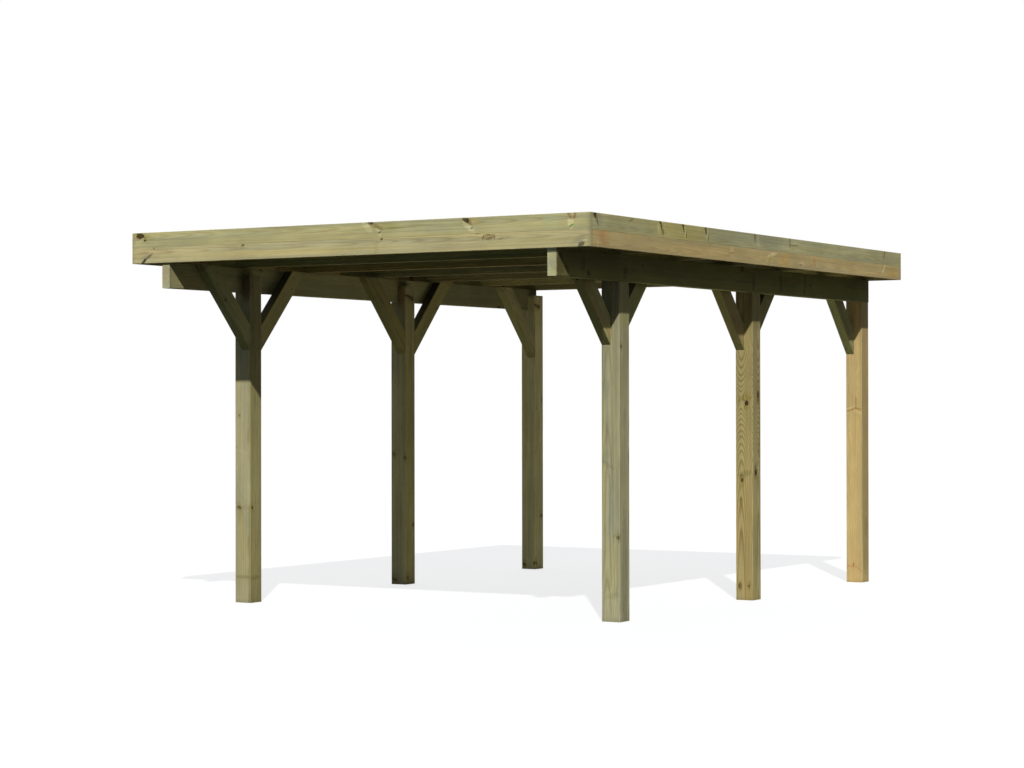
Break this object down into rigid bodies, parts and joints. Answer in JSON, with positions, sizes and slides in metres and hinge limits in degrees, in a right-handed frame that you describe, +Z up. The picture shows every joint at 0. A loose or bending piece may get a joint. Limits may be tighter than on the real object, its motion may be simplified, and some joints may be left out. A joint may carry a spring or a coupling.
{
  "type": "carport",
  "caption": "Flat-roofed timber carport: braced, rebated posts carry beams, cross joists and profiled roof sheets behind a boarded fascia.",
  "frame": {"origin": "centre of the roof outline, at floor level under the post feet", "axes": "+X across the bay to the right seen from the entrance, +Y from the entrance to the back, +Z up"},
  "size_m": [3.256, 4.498, 2.332],
  "materials": {
    "post_timber": "planed, green pressure-treated pine",
    "beam_timber": "planed, green pressure-treated pine",
    "brace_timber": "planed, green pressure-treated pine",
    "joist_timber": "planed, green pressure-treated pine",
    "fascia_timber": "planed, green pressure-treated pine",
    "roof_metal": "matt coated steel sheet"
  },
  "bodies": {
    "root": {"beam_left": "beam_timber", "post_left_front": "post_timber", "brace_left_front_fore": "brace_timber", "brace_left_front_aft": "brace_timber", "post_left_middle": "post_timber", "brace_left_middle_fore": "brace_timber", "brace_left_middle_aft": "brace_timber", "post_left_rear": "post_timber", "brace_left_rear_fore": "brace_timber", "fascia_left_lower": "fascia_timber", "fascia_left_upper": "fascia_timber", "beam_right": "beam_timber", "post_right_front": "post_timber", "brace_right_front_fore": "brace_timber", "brace_right_front_aft": "brace_timber", "post_right_middle": "post_timber", "brace_right_middle_fore": "brace_timber", "brace_right_middle_aft": "brace_timber", "post_right_rear": "post_timber", "brace_right_rear_fore": "brace_timber", "fascia_right_lower": "fascia_timber", "fascia_right_upper": "fascia_timber", "fascia_front_lower": "fascia_timber", "fascia_front_upper": "fascia_timber", "fascia_rear_lower": "fascia_timber", "fascia_rear_upper": "fascia_timber", "joist_1": "joist_timber", "joist_2": "joist_timber", "joist_3": "joist_timber", "joist_4": "joist_timber", "joist_5": "joist_timber", "joist_6": "joist_timber", "joist_7": "joist_timber", "roof_sheet_left": "roof_metal", "roof_sheet_middle": "roof_metal", "roof_sheet_right": "roof_metal", "rear_spacer_1": "joist_timber", "rear_spacer_2": "joist_timber", "rear_spacer_3": "joist_timber", "rear_spacer_4": "joist_timber", "rear_spacer_5": "joist_timber"}
  },
  "joints": []
}
